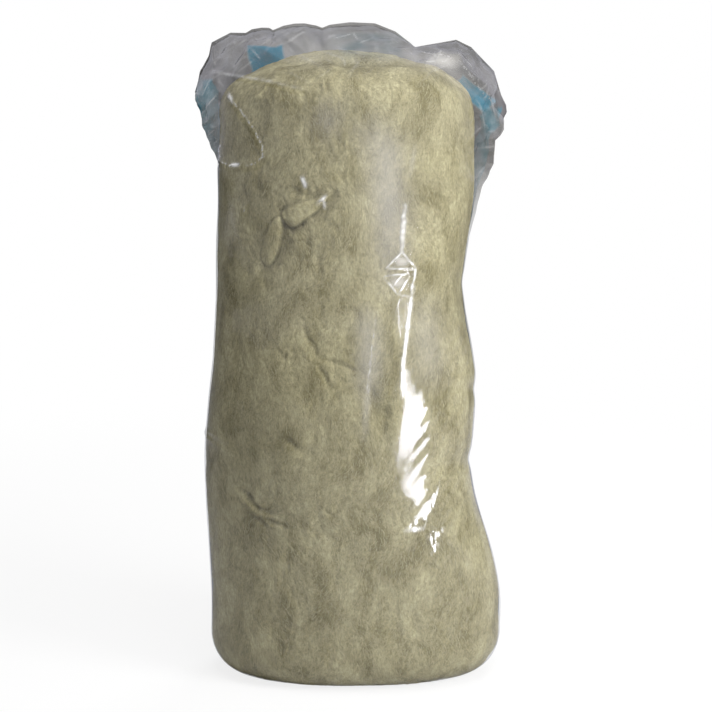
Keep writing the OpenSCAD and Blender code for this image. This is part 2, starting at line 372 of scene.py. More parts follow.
def woolRelief(points, spec):
    x, y, z = at = np.moveaxis(points, -1, 0)
    relief = bodyLumps(x, y, z) + spec["press"]
    # swellings, clumps, curls and pits, each on a smaller scale
    warp = spec["warp"] * grain(at, spec["warpSize"], 31)
    w = spec["swellSize"]
    swell = layered(x / w + warp, y / w, z / (1.3 * w) - warp, 13, 2) - 0.15
    relief = relief + spec["swellDepth"] * np.maximum(swell, -0.75)
    s = spec["clumpSize"]
    relief = relief - spec["clumpDepth"] * np.abs(layered(x / s + warp, y / s, z / (1.8 * s), 11, 2)) * 1.4
    twist = spec["twist"] * grain(at, spec["twistSize"], 33)
    c = spec["curlSize"]
    curl = np.abs(layered(x / c + twist, y / c - twist, z / (1.7 * c) + twist, 43, 2))
    relief = relief - spec["curlDepth"] * curl * 1.5
    q = spec["pitSize"]
    relief = relief - spec["pitDepth"] * (0.5 + layered(x / q + twist, y / q, z / (1.6 * q) + twist, 47, 2))
    # the crown sinks, most at its sides
    front = smooth(-y, 0.02, 0.08)
    sunk = smooth(z, 1.05, 1.125) + smooth(np.abs(x), 0.12, 0.20) * smooth(z, 1.0, 1.07)
    relief = relief - spec["settle"] * sunk
    # where the film turns in at the foot of an ear
    nip = spec["nip"]
    relief = relief - nip["deep"] * bump(np.linalg.norm(points - np.array(nip["at"]), axis=-1), nip["size"])
    shade = np.zeros_like(x)
    paintedHighlight = np.zeros_like(x)
    level = relief
    # loose tufts: a pillow in a hollow, with painted shade on its rim under it and in the hollow, and a painted
    # highlight on the pillow
    for leaf in spec["leaves"]:
        turn = math.radians(leaf["turn"])
        dx, dz = x - leaf["at"][0], z - leaf["at"][1]
        t = (dx * math.cos(turn) + dz * math.sin(turn)) / leaf["long"] + 0.5
        b = -dx * math.sin(turn) + dz * math.cos(turn)
        first, last = leaf["ends"]
        peak = first / (first + last)
        along = np.clip(t, 0, 1)
        half = leaf["wide"] / 2 * along ** first * (1 - along) ** last / (peak ** first * (1 - peak) ** last)
        beyond = np.maximum(np.maximum(-t, t - 1), 0) * leaf["long"]
        gap = np.where(np.abs(b) < half, np.abs(b) - half, np.hypot(np.abs(b) - half, beyond))
        gap = gap + 0.0016 * grain(at, 0.016, 77, 2)
        under = 0.50 - 0.50 * b / (leaf["wide"] / 2) + 0.3 * grain(at, 0.03, 78)
        under = np.clip(under, 0.40, 1)
        rim = bump(gap - 0.0010, 0.0026) * under
        hollow = smooth(gap, -0.002, 0.003) * (1 - smooth(gap, 0.004, 0.026))
        inside = (1 - smooth(gap, -0.0035, 0.0)) * front
        pillow = level + 0.0018 - 0.0024 * smooth(gap, -0.010, -0.001)
        relief = relief - front * leaf["rise"] * (hollow * (0.25 + 0.75 * under) + 0.4 * rim)
        relief = relief * (1 - inside) + pillow * inside
        shade = np.maximum(shade * (1 - inside), front * (rim + 0.16 * hollow * under))
        paintedHighlight = np.maximum(paintedHighlight * (1 - front * rim), 0.6 * inside)
    patchy = np.clip(0.68 + 0.9 * grain(at, 0.024, 92, 2), 0.3, 1)
    wander = 0.006 * grain(at, 0.03, 91)
    # a dent along each crease, with painted shade along it
    for crease in spec["creases"]:
        gap, along = pathDistance(x + wander, z, crease["path"])
        line = bump(gap, crease["wide"]) * endFade(along, 0.04, 0.6) * front * patchy
        relief = relief - crease["deep"] * line
        shade = np.maximum(shade, crease.get("shade", 0.9) * line)
    # a rise along each ridge, with a painted highlight on it
    for ridge in spec["ridges"]:
        gap, along = pathDistance(x, z, ridge["path"])
        line = bump(gap, ridge["wide"]) * endFade(along, 0.04, 0.6) * front
        relief = relief + ridge["rise"] * line
        paintedHighlight = np.maximum(paintedHighlight, ridge["pale"] * line)
    # painted shade in soft patches
    for patch in spec["patches"]:
        far = np.hypot((x - patch["at"][0]) / patch["size"][0], (z - patch["at"][1]) / patch["size"][1])
        far = far + 0.5 * grain(at, (0.035, 0.035, 0.05), 79, 2)
        shade = np.maximum(shade, patch["shade"] * (1 - smooth(far, 0.55, 1.1)) * front)
    return relief, np.clip(shade, 0, 1), np.clip(paintedHighlight, 0, 1)


points, uv = woolGrid(wool)
relief, paintedShade, paintedHighlightShare = woolRelief(points, wool)
# the film holds the wool back: high spots are pressed flat against it
hold = bodyLumps(*np.moveaxis(points, -1, 0)) + wool["hold"]
relief = hold - wool["holdSoft"] * np.log1p(np.exp((hold - relief) / wool["holdSoft"]))
points = points + gridNormals(points) * relief[..., None]
points[..., 2] = np.maximum(points[..., 2], wool["least"])
woolBody = gridMesh("wool_body", points, uv, "point")
# the crease attribute holds the painted shade of creases, tuft rims and patches
addAttribute(woolBody, "crease", paintedShade)
# the tuft attribute holds the painted highlight on tufts and ridges
addAttribute(woolBody, "paintedHighlight", paintedHighlightShare)
print("wool", len(woolBody.data.polygons), "faces")


# loose fibres lying on the wool, scattered by geometry nodes

fibres = {
    "density": 24500.0, "length": 0.0105, "width": 0.0006, "arch": 0.0008, "sway": 0.25, "turn": 1.25, "seed": 7,
    "flowScale": 13.0, "flowTurn": 2.6, "stray": 0.45, "inCreases": -0.9,
    "leastSize": (0.45, 0.5, 0.3), "mostSize": (1.35, 1.6, 1.3),
}
fibreSizes = ("Density", "Length", "Width", "Arch", "Sway", "Turn")


def addNode(tree, kind, *inputs, **values):
    # settings by name, inputs in order or by name: a value, a socket, or a node for its first output
    node = tree.nodes.new(kind)
    named = {}
    for key, value in values.items():
        if hasattr(node, key):
            setattr(node, key, value)
        else:
            named[key.replace("_", " ")] = value
    for key, source in [*enumerate(inputs), *named.items()]:
        if isinstance(source, bpy.types.Node):
            source = next(socket for socket in source.outputs if socket.enabled)
        if isinstance(source, bpy.types.NodeSocket):
            tree.links.new(source, node.inputs[key])
        else:
            node.inputs[key].default_value = source
    return node


def times(add, a, b):
    return add("ShaderNodeMath", a, b, operation="MULTIPLY")


def timesPlus(add, a, b, c):
    return add("ShaderNodeMath", a, b, c, operation="MULTIPLY_ADD")


def fibreTree(spec):
    tree = bpy.data.node_groups.new("fibre_scatter", "GeometryNodeTree")
    sockets = [("Wool", "INPUT", "Geometry"), *((name, "INPUT", "Float") for name in fibreSizes),
               ("Seed", "INPUT", "Int"), ("Finish", "INPUT", "Material"), ("Fibres", "OUTPUT", "Geometry")]
    for name, way, kind in sockets:
        tree.interface.new_socket(name, in_out=way, socket_type="NodeSocket" + kind)
    add = partial(addNode, tree)
    given = add("NodeGroupInput").outputs
    # one fibre: a narrow strip, arched and swayed
    strip = add("GeometryNodeMeshGrid", Size_X=1.0, Size_Y=1.0, Vertices_X=3, Vertices_Y=2)
    split = add("ShaderNodeSeparateXYZ", add("GeometryNodeInputPosition")).outputs
    square = times(add, split["X"], split["X"])
    along = times(add, split["X"], given["Length"])
    across = times(add, split["Y"], given["Width"])
    swayed = timesPlus(add, times(add, square, given["Sway"]), given["Length"], across)
    arched = times(add, timesPlus(add, square, -4.0, 1.0), given["Arch"])
    shape = add("ShaderNodeCombineXYZ", along, swayed, arched)
    fibre = add("GeometryNodeSetPosition", Geometry=strip, Position=shape)
    # where they lie, with fewer where the wool has painted shade: its creases, tuft rims and dark patches
    crease = add("GeometryNodeInputNamedAttribute", data_type="FLOAT", Name="crease")
    density = times(add, given["Density"], timesPlus(add, crease, spec["inCreases"], 1.0))
    spots = add("GeometryNodeDistributePointsOnFaces", Mesh=given["Wool"], Density=density, Seed=given["Seed"])
    # which way they run: up the wool, turned by a slow flow and each by its own angle
    stand = add("FunctionNodeAlignRotationToVector", axis="Z", Vector=spots.outputs["Normal"])
    upright = add("FunctionNodeAlignRotationToVector", axis="X", pivot_axis="Z", Rotation=stand, Vector=(0.0, 0.0, 1.0))
    where = add("GeometryNodeInputPosition")
    flow = add("ShaderNodeTexNoise", where, Scale=spec["flowScale"], Detail=2.0, Roughness=0.5)
    centred = add("ShaderNodeMath", flow, 0.5, operation="SUBTRACT")
    stray = add("FunctionNodeRandomValue", data_type="FLOAT", Min=-spec["stray"], Max=spec["stray"], Seed=given["Seed"])
    angle = times(add, timesPlus(add, centred, spec["flowTurn"], stray), given["Turn"])
    spin = add("FunctionNodeAxisAngleToRotation", Axis=(0.0, 0.0, 1.0), Angle=angle)
    turned = add("FunctionNodeRotateRotation", rotation_space="LOCAL", Rotation=upright, Rotate_By=spin)
    size = add("FunctionNodeRandomValue", data_type="FLOAT_VECTOR", Min=spec["leastSize"], Max=spec["mostSize"])
    laid = add("GeometryNodeInstanceOnPoints", Points=spots, Instance=fibre, Rotation=turned, Scale=size)
    tone = add("FunctionNodeRandomValue", data_type="FLOAT", Seed=3)
    toned = add("GeometryNodeStoreNamedAttribute", data_type="FLOAT", domain="INSTANCE",
                Name="tone", Geometry=laid, Value=tone)
    real = add("GeometryNodeRealizeInstances", toned)
    add("NodeGroupOutput", Fibres=add("GeometryNodeSetMaterial", Geometry=real, Material=given["Finish"]))
    return tree


def scatterFibres(ground, spec, finish):
    tree = fibreTree(spec)
    carrier = bpy.data.objects.new("fibre_carrier", ground.data)
    scene.collection.objects.link(carrier)
    modifier = carrier.modifiers.new("fibres", "NODES")
    modifier.node_group = tree
    sockets = {item.name: item.identifier for item in tree.interface.items_tree if item.in_out == "INPUT"}
    for name in (*fibreSizes, "Seed"):
        modifier[sockets[name]] = spec[name.lower()]
    modifier[sockets["Finish"]] = finish
    bpy.context.view_layer.update()
    seen = carrier.evaluated_get(bpy.context.evaluated_depsgraph_get())
    mesh = bpy.data.meshes.new_from_object(seen)
    mesh.name = "wool_fibres"
    carrier.modifiers.clear()
    bpy.data.objects.remove(carrier)
    piece = bpy.data.objects.new("wool_fibres", mesh)
    scene.collection.objects.link(piece)
    return piece


# film: the clear sack, from its flat base to the weld, with its ears

film = {
    "around": 560, "frontShare": 0.62, "footRows": 14, "lowRows": 92, "rowBreak": 0.70, "highRows": 150, "headRows": 80,
    "thick": 0.0002, "leftDroop": 0.124, "rightDroop": 0.151, "thinVeil": 0.035, "foldGlint": 0.26, "fineLine": 0.0011,
    "pullRise": 0.0007, "slantRise": 0.00048, "slantApart": 0.023, "unevenRise": 0.0003,
    # loose folds: share across, share up, distance apart, how far two slow waves shift them
    "coarse": [(0.80, 0.60, 0.058, 0.7, 0.0), (0.45, -0.90, 0.071, 0.0, 0.7), (0.98, 0.17, 0.083, 0.7, -0.4)],
    "small": [(0.6, -0.8, 0.024, 1.1, 0.0), (0.9, 0.45, 0.029, 0.0, 1.1)], "coarseRise": 0.0030, "smallRise": 0.0008,
    # the weld line: distance to the right, height against the weld
    "skyline": [(-0.280, -0.124), (-0.273, -0.101), (-0.271, -0.088), (-0.264, -0.077), (-0.254, -0.059),
                (-0.249, -0.036), (-0.2145, -0.0185), (-0.187, -0.0190), (-0.176, -0.0125), (-0.158, -0.0095),
                (-0.145, -0.0100), (-0.138, -0.0140), (-0.120, -0.0065), (-0.100, -0.0025), (-0.082, -0.002),
                (-0.060, -0.0060), (-0.050, -0.0100), (-0.036, -0.0045), (0.0, 0.0), (0.045, -0.002), (0.082, -0.0165),
                (0.109, -0.037), (0.117, -0.044), (0.140, -0.040), (0.164, -0.036), (0.191, -0.031),
                (0.218, -0.044), (0.260, -0.087), (0.280, -0.151)],
    # film creases: a rise along each path, and where white is given, a painted glint line on it
    "creases": named("path rise wide white thick", [
        ([(0.089, 0.794), (0.063, 0.768)], 0.0010, 0.006, 1.0, 0.0013),
        ([(0.089, 0.794), (0.113, 0.766)], 0.0010, 0.006, 1.0, 0.0013),
        ([(0.063, 0.767), (0.113, 0.764)], 0.0012, 0.006, 1.0, 0.0014),
        ([(0.060, 0.754), (0.100, 0.757)], 0.0010, 0.006, 0.9, 0.0012),
        ([(0.058, 0.752), (0.082, 0.722)], 0.0008, 0.006, 0.8, 0.0011),
        ([(0.102, 0.752), (0.084, 0.723)], 0.0010, 0.006, 1.0, 0.0013),
        ([(0.090, 0.756), (0.072, 0.734)], 0.0008, 0.005, 0.7, 0.0011),
        ([(0.113, 0.764), (0.104, 0.717)], 0.0010, 0.007, 1.0, 0.0017),
        ([(0.082, 0.722), (0.104, 0.717)], 0.0008, 0.006, 0.9, 0.0013),
        ([(0.094, 0.872), (0.091, 0.840), (0.089, 0.794)], 0.0006, 0.010, 0.9, 0.0038),
        ([(0.108, 0.735), (0.104, 0.700), (0.099, 0.657), (0.092, 0.606),
          (0.090, 0.548)], 0.0006, 0.010, 1.0, 0.0030),
        ([(0.0945, 0.306), (0.118, 0.320), (0.1418, 0.330), (0.148, 0.329)], 0.0016, 0.008, 1.0, 0.0012),
        ([(0.0945, 0.306), (0.129, 0.304)], 0.0016, 0.008, 1.0, 0.0013),
        ([(0.129, 0.304), (0.136, 0.322)], 0.0010, 0.006, 0.7, 0.0009),
        ([(0.138, 0.334), (0.146, 0.346), (0.158, 0.386)], 0.0014, 0.007, 1.0, 0.0012),
        ([(0.1364, 0.280), (0.1636, 0.299)], 0.0016, 0.007, 1.0, 0.0012),
        ([(0.142, 0.275), (0.1640, 0.299)], -0.0012, 0.007, 1.0, 0.0011),
        ([(0.144, 0.258), (0.156, 0.270)], 0.0016, 0.007, 1.0, 0.0013),
        ([(-0.206, 1.052), (-0.188, 1.032), (-0.164, 1.002), (-0.149, 0.972), (-0.147, 0.954), (-0.162, 0.941),
          (-0.180, 0.937)], 0.0026, 0.010, 0.9),
        ([(-0.207, 1.057), (-0.203, 1.043)], 0.0024, 0.008, 1.0, 0.0036),
        ([(-0.206, 0.936), (-0.190, 0.938)], 0.0020, 0.007, 1.0, 0.0026),
        ([(-0.233, 0.942), (-0.205, 0.934), (-0.187, 0.941)], 0.0026, 0.009, 0.9),
        ([(-0.080, 0.922), (-0.074, 0.904)], 0.0030, 0.008, 1.0, 0.0030),
        ([(-0.054, 0.876), (-0.040, 0.889)], 0.0030, 0.008, 1.0, 0.0030),
        ([(-0.044, 0.884), (-0.042, 0.868)], 0.0020, 0.007, 1.0, 0.0022),
        ([(-0.175, 0.876), (-0.182, 0.858)], 0.0024, 0.007, 0.9),
        ([(-0.266, 1.096), (-0.235, 1.094), (-0.142, 1.082), (-0.080, 1.068)], 0.0036, 0.010, 0.30, 0.0026),
        ([(0.044, 0.680), (0.038, 0.630), (0.032, 0.570), (0.030, 0.520)], 0.0006, 0.008, 0.5),
        ([(-0.275, 0.452), (-0.210, 0.440)], 0.0050, 0.010),
        ([(-0.275, 0.352), (-0.215, 0.345)], -0.0010, 0.008),
        ([(-0.252, 1.140), (-0.236, 1.118)], 0.0030, 0.007, 0.9),
        ([(-0.246, 1.150), (-0.228, 1.124)], 0.0030, 0.007, 0.9),
        ([(0.118, 1.130), (0.160, 1.124), (0.186, 1.116)], 0.0040, 0.010, 0.6),
        ([(0.120, 1.112), (0.170, 1.114)], 0.0034, 0.009, 0.6),
        ([(0.186, 1.116), (0.215, 1.086), (0.240, 1.066)], 0.0040, 0.010, 0.6),
        ([(0.182, 1.118), (0.205, 1.140), (0.218, 1.143)], 0.0034, 0.008, 0.6),
        ([(0.190, 1.112), (0.230, 1.060), (0.262, 1.030)], 0.0034, 0.009, 0.6),
    ]),
    # veils: soft streaks on the front, most of them painted sheen where the film's reflections fall
    "hazeAndSheenStreaks": named("path wide cover", [
        ([(0.078, 1.010), (0.074, 0.950), (0.056, 0.870)], 0.007, 0.22),
        ([(0.112, 0.985), (0.098, 0.900)], 0.006, 0.18),
        ([(0.072, 0.776), (0.089, 0.778), (0.106, 0.776)], 0.009, 0.62),
        ([(0.093, 0.862), (0.090, 0.830), (0.089, 0.796)], 0.005, 0.55),
        ([(0.062, 0.748), (0.084, 0.742), (0.104, 0.746)], 0.012, 0.50),
        ([(0.020, 1.040), (0.060, 0.960), (0.070, 0.840), (0.066, 0.690)], 0.034, 0.32),
        ([(0.030, 0.720), (0.036, 0.620), (0.028, 0.520)], 0.024, 0.29),
        ([(0.120, 0.740), (0.130, 0.640), (0.150, 0.530)], 0.034, 0.20),
        ([(-0.070, 1.030), (0.000, 1.010)], 0.034, 0.14),
        ([(-0.215, 0.900), (-0.205, 0.840), (-0.180, 0.780)], 0.004, 0.10),
        ([(0.042, 0.700), (0.034, 0.600), (0.024, 0.460)], 0.008, 0.34),
        ([(-0.130, 1.108), (-0.080, 1.124), (-0.018, 1.132), (0.091, 1.126), (0.164, 1.104), (0.204, 1.068),
          (0.218, 1.020)], 0.015, 0.20),
        ([(0.112, 1.117), (0.150, 1.115), (0.196, 1.104)], 0.013, 0.48),
    ]),
    "blocks": [{"at": (-0.151, 1.110), "size": (0.066, 0.060), "turn": 4},
               {"at": (0.226, 1.050), "size": (0.080, 0.036), "turn": -38}],
    "stripes": [{"side": -1, "from": 0.0, "drift": 0.016, "wide": 0.044, "flare": 0.030, "high": 1.082},
                {"side": 1, "from": 0.019, "drift": 0.0, "wide": 0.043, "flare": 0.0, "high": 1.030}],
    "tint": {"left": -0.060, "right": 0.104, "low": 1.100, "high": 1.168},
}


def filmGrid(spec):
    angles = frontAngles(spec["around"], spec["frontShare"])
    c, s = np.cos(angles)[None, :], np.sin(angles)[None, :]
    side = np.where(c >= 0, 1.0, -1.0)
    foot = sack["footUp"] * (1 - np.cos(np.linspace(0, math.pi / 2, spec["footRows"], endpoint=False)))
    headZ = crownZ + sack["closeAbove"]
    body = np.concatenate([np.linspace(sack["footUp"], spec["rowBreak"], spec["lowRows"], endpoint=False),
                           np.linspace(spec["rowBreak"], headZ, spec["highRows"])])
    turn = np.linspace(0, math.pi / 2, spec["headRows"])[1:]
    headHeight = sack["weldHeight"] - sack["weldBand"] - headZ
    head = headZ + headHeight * np.sin(turn)
    heights = np.concatenate([foot, body, head, [sack["weldHeight"]]])[:, None]
    inset = np.concatenate([footInset(foot), np.zeros(len(body) + len(turn) + 1)])[:, None]
    thick = spec["thick"]
    deep = np.concatenate([halfDeep(foot), halfDeep(body), thick + (halfDeep(headZ) - thick) * np.cos(turn), [thick]])
    back = np.concatenate([np.zeros(len(foot) + len(body)), sack["weldBack"] * np.sin(turn) ** 3,
                           [sack["weldBack"]]])[:, None]
    wide = halfSide(heights, side) - inset
    deep = deep[:, None] - inset
    # the side folds, which leave the body at an ear's start and reach its tip at the weld
    earStart = np.where(side > 0, sack["rightEar"][0], sack["leftEar"][0])
    earTip = np.where(side > 0, sack["rightEar"][1], sack["leftEar"][1])
    shoulder = sack["sections"][-1][0]
    share = np.clip((heights - shoulder) / (sack["weldHeight"] - shoulder), 0, 1)
    foldZ = np.where(heights <= shoulder, heights, shoulder + (earTip - shoulder) * share)
    near = halfSide(earStart, side)
    foldX = near + (sack["earSpan"] / 2 - near) * np.clip((foldZ - earStart) / (earTip - earStart), 0, 1)
    foldX = np.where(foldZ <= earStart, halfSide(foldZ, side), np.maximum(halfSide(foldZ, side), foldX)) - inset
    touch = np.clip(wide / foldX, 0, 1)
    onFold = np.abs(c) > touch
    edge = np.sqrt(np.maximum(0, 1 - touch ** 2))
    out = np.where(onFold, 1 - np.arccos(np.clip(np.abs(c), 0, 1)) / np.maximum(np.arccos(touch), 1e-6), 0)
    x = np.where(onFold, wide * planShare(touch) * (1 - out) + foldX * out, wide * planShare(np.abs(c)))
    y = np.where(onFold, deep * planShare(edge) * (1 - out), deep * planShare(np.abs(s)))
    x = side * x
    y = back + np.where(s >= 0, 1.0, -1.0) * y
    # the weld line droops to the ears' tips
    sky = np.array(spec["skyline"])
    halfSpan = sack["earSpan"] / 2
    reach = x / np.maximum(foldX, 1e-6) * halfSpan
    droop = np.interp(reach, sky[:, 0], sky[:, 1])
    smoothDroop = -np.where(side > 0, spec["rightDroop"], spec["leftDroop"]) * np.abs(reach / halfSpan) ** 7
    top = share ** 5
    z = heights + droop * top + smoothDroop * (share - top)
    points = np.stack([x, y, z], axis=-1)
    # free film: the ears, and the head over the wool
    ear = smooth(out, 0.05, 0.5) * smooth(heights, 0.80, 0.95)
    head = smooth(heights, crownZ + 0.03, crownZ + 0.10)
    loose = np.maximum(ear, head)
    # haze: a grey ground behind the head; in front, thin haze and streaks of painted sheen
    behind = np.where(s >= 0, 1.0, 0.0)
    streaks = 0.5 + 0.5 * layered((x + 0.4 * z) / 0.05, y / 0.2, (z - 0.3 * x) / 0.10, 29, 3)
    low = crownZ + 0.005 - 0.10 * smooth(np.abs(x), 0.09, 0.21)
    low = low + 0.022 * grain((x, y, z), (0.06, 0.3, 0.14), 87, 3)
    ground = np.maximum(smooth(heights, low - 0.07, low + 0.05), ear)
    frontHazeAndSheen = spec["thinVeil"] * loose * (0.2 + 1.6 * np.clip(streaks, 0, 1))
    # painted sheen, and some haze, along the listed paths
    for soft in spec["hazeAndSheenStreaks"]:
        gap, along = pathDistance(x, z, soft["path"])
        frontHazeAndSheen = np.maximum(frontHazeAndSheen, soft["cover"] * bump(gap, soft["wide"]) * endFade(along, 0.02, 1))
    hazeAndSheen = behind * ground * (0.86 + 0.14 * streaks) + (1 - behind) * frontHazeAndSheen
    # the ears and the back film's flanks beside the crown take the darker copy of the film's grey and blue: painted
    # shade
    flank = smooth(np.abs(x), 0.11, 0.19) * smooth(heights, crownZ - 0.03, crownZ + 0.05)
    return points, loose, hazeAndSheen, np.maximum(ear, 0.8 * flank * behind), angles, heights


def looseFolds(at, spec):
    # the folds of the loose film, coarse ones and fine ones
    lift, slip = grain(at, 0.10, 61), grain(at, 0.10, 62)
    return [[foldWave((at[0] * across + at[2] * up) / apart + byLift * lift + bySlip * slip)
             for across, up, apart, byLift, bySlip in spec[kind]] for kind in ("coarse", "small")]


def filmLines(points, loose, spec):
    # painted glints: thin bright lines along the sharpest creases
    x, y, z = at = np.moveaxis(points, -1, 0)
    white = np.zeros_like(x)
    coarse, small = looseFolds(at, spec)
    for k, wave in enumerate(coarse + small):
        part = smooth(grain(at, 0.045, 110 + k), 0.10, 0.40)
        sharp = smooth(wave, 0.80 if k < len(coarse) else 0.6, 1.0)
        white = np.maximum(white, spec["foldGlint"] * loose * part * sharp)
    face = smooth(-y, -0.02, 0.03)
    white = white * (0.3 + 0.7 * face)
    breaks = 0.62 + 1.0 * grain(at, 0.013, 95, 2)
    dots = 0.8 * smooth(grain(at, 0.006, 97, 2), -0.05, 0.25)
    wander = 0.002 * grain(at, 0.012, 96)
    for crease in spec["creases"]:
        if crease.get("white"):
            gap, along = pathDistance(x + wander, z, crease["path"])
            run = np.clip(breaks, 0.3, 1) if "thick" in crease else dots
            line = bump(gap, crease.get("thick", spec["fineLine"])) * endFade(along, 0.05, 0.4)
            white = np.maximum(white, crease["white"] * line * run * face)
    return white


def filmRelief(points, loose, spec):
    x, y, z = at = np.moveaxis(points, -1, 0)
    relief = bodyLumps(x, y, z) * (1 - 0.6 * loose)
    front = smooth(-y, -0.02, 0.06)
    # long upright pulls
    pull = softNoise(x / 0.045 + 0.8 * grain(at, 0.2, 3), y / 0.045, z / 0.34, 21)
    even = bump(x - 0.095, 0.035) * smooth(z, 0.54, 0.62) * front
    pull = (1 - np.abs(pull) * 2) * smooth(z, 0.05, 0.2) * (1 - 0.9 * even)
    relief = relief + spec["pullRise"] * pull
    # slanting creases, low on the right
    slant = foldWave((z * 0.80 - x) / spec["slantApart"] + 0.35 * grain(at, 0.07, 8))
    where = smooth(x, 0.095, 0.150) * (1 - smooth(x, 0.19, 0.24)) * bump(z - 0.45, 0.21) * front
    relief = relief + spec["slantRise"] * slant * where
    coarse, small = looseFolds(at, spec)
    relief = relief + loose * (spec["coarseRise"] * sum(coarse) + spec["smallRise"] * sum(small))
    fine = grain(at, (0.06, 0.06, 0.09), 71, 2)
    relief = relief + spec["unevenRise"] * fine * smooth(z, 0.02, 0.1)
    for crease in spec["creases"]:
        gap, along = pathDistance(x, z, crease["path"])
        fold = np.clip(1 - gap / crease["wide"], 0, 1) ** 1.3
        relief = relief + crease["rise"] * fold * endFade(along, 0.05, 0.5) * front
    return relief


points, loose, hazeAndSheen, ear, angles, heights = filmGrid(film)
relief = filmRelief(points, loose, film)
weldHold = smooth(sack["weldHeight"] - heights, 0.0, 0.02)
points = points + gridNormals(points) * (relief * weldHold)[..., None]
points[..., 2] = np.maximum(points[..., 2], 0.0)
filmSack = gridMesh("film_sack", points, layUv(angles, heights), "weld")
# painted glint lines along folds and creases
addAttribute(filmSack, "paintedGlint", filmLines(points, loose, film))
# haze behind; thin haze and painted sheen in front
addAttribute(filmSack, "hazeAndSheen", hazeAndSheen)


def filmPrint(points, angles, spec):
    # plain blocks over the head and a stripe down each edge of the back panel
    x, _, z = at = np.moveaxis(points, -1, 0)
    slide = 0.010 * grain(at, 0.06, 83, 2)
    ink = np.zeros_like(x)
    for block in spec["blocks"]:
        turn = math.radians(block["turn"])
        dx, dz = x + slide - block["at"][0], z - slide - block["at"][1]
        a = np.abs(dx * math.cos(turn) + dz * math.sin(turn)) - block["size"][0] / 2
        b = np.abs(-dx * math.sin(turn) + dz * math.cos(turn)) - block["size"][1] / 2
        ink = np.maximum(ink, 1 - smooth(np.maximum(a, b), -0.006, 0.0))
    last = np.nonzero(np.sin(angles) > 0)[0][-1] + 2
    step = np.linalg.norm(np.diff(points[:, :last], axis=1), axis=2)
    reach = np.concatenate([np.zeros((len(points), 1)), np.cumsum(step, axis=1)], axis=1)
    stripes = np.zeros_like(x)
    for stripe in spec["stripes"]:
        along = reach if stripe["side"] > 0 else reach[:, -1:] - reach
        start = stripe["from"] + stripe["drift"] * (1 - smooth(z[:, :last], 0.80, 0.95))
        end = start + stripe["wide"] + stripe["flare"] * smooth(z[:, :last], 0.86, 0.96)
        band = smooth(along, start - 0.003, start) * (1 - smooth(along, end - 0.003, end))
        below = 1 - smooth(z - 0.4 * slide, stripe["high"] - 0.006, stripe["high"])
        stripes[:, :last] = np.maximum(stripes[:, :last], band * below[:, :last])
    stripes = stripes * (0.86 + 0.22 * grain(at, (0.03, 0.03, 0.05), 86, 3))
    behind = np.sin(angles)[None, :] > -1e-6
    return ink * behind, np.clip(stripes, 0, 1) * behind


def frontTint(points, angles, spec):
    # a pale wash of the same blue on the front of the head
    x, _, z = at = np.moveaxis(points, -1, 0)
    box = spec["tint"]
    slide = 0.012 * grain(at, 0.05, 84, 2)
    left, right, low, high = (box[edge] for edge in ("left", "right", "low", "high"))
    wash = smooth(x + slide, left, left + 0.05) * (1 - smooth(x + slide, right - 0.02, right))
    wash = wash * smooth(z + slide, low, low + 0.03) * (1 - smooth(z, high - 0.01, high))
    return wash * (0.7 + 0.5 * grain(at, (0.03, 0.03, 0.02), 85)) * (np.sin(angles)[None, :] < 0)


blockInk, stripeInk = filmPrint(points, angles, film)
addAttribute(filmSack, "backPrint", np.maximum(blockInk, stripeInk))
# painted light and shade: where the darker copy of grey and blue goes, on ears, stripes and flanks, less under the
# head's blocks
addAttribute(filmSack, "shadedCopy", np.maximum(ear * (1 - 0.75 * blockInk), stripeInk))
addAttribute(filmSack, "frontFilm", np.tile(np.sin(angles) < 0, (len(points), 1)))
addAttribute(filmSack, "frontTint", np.clip(frontTint(points, angles, film), 0, 1))
print("film", len(filmSack.data.polygons), "faces")


# materials

woolLook = {
    "fibreDark": (0.235, 0.212, 0.120, 1), "fibrePale": (0.48, 0.44, 0.280, 1), "patchDark": (0.49, 0.47, 0.385, 1),
    # painted shade: the crease colour and its share darken creases, tuft rims and patches; the tuft factor is a painted
    # highlight
    "crease": (0.085, 0.075, 0.038, 1), "shadeShare": 0.62, "paintedHighlight": (1.30, 1.30, 1.27, 1),
    "looseDark": (0.25, 0.225, 0.136, 1), "loosePale": (0.44, 0.405, 0.256, 1),
    "swirl": (0.06, 0.06, 0.06), "stretch": (1.0, 1.0, 0.58), "streakScale": 230.0, "patchScale": 22.0,
}
# the veil colour covers the front with thin haze and painted sheen
filmLook = {
    # painted light and shade: ground and blue are a lighter copy for the head, the ear colours a darker copy of the
    # same grey and blue
    "ground": (0.34, 0.335, 0.345, 1), "shadedGround": (0.074, 0.070, 0.074, 1), "frontHazeAndSheen": (0.68, 0.66, 0.62, 1),
    "litBlue": (0.012, 0.23, 0.38, 1), "shadedBlue": (0.006, 0.100, 0.142, 1), "blueCover": 0.97,
    "wash": (0.092, 0.152, 0.166, 1), "washCover": 0.36, "hazeAndSheen": (0.02, 0.97),
    # glint colours the painted glint lines
    "clear": (0.975, 0.98, 0.975, 1), "glint": (0.90, 0.90, 0.91, 1), "gloss": (0.50, 0.50, 0.57, 1),
    "sheen": 0.48, "sheenLeast": 0.05, "sheenPower": 3.6, "sheenBehind": 0.16, "rippleScale": 38.0,
}


def newMaterial(name):
    material = bpy.data.materials.new(name)
    material.use_nodes = True
    material.node_tree.nodes.clear()
    return material, partial(addNode, material.node_tree)


def reading(add, name):
    return add("ShaderNodeAttribute", attribute_name=name).outputs["Fac"]


def colourRamp(add, factor, *stops):
    node = add("ShaderNodeValToRGB", factor)
    for element, (at, colour) in zip(node.color_ramp.elements, stops):
        element.position, element.color = at, colour
    return node


def mixColours(add, factor, a, b, how="MIX"):
    return add("ShaderNodeMix", data_type="RGBA", blend_type=how, Factor=factor, A=a, B=b)


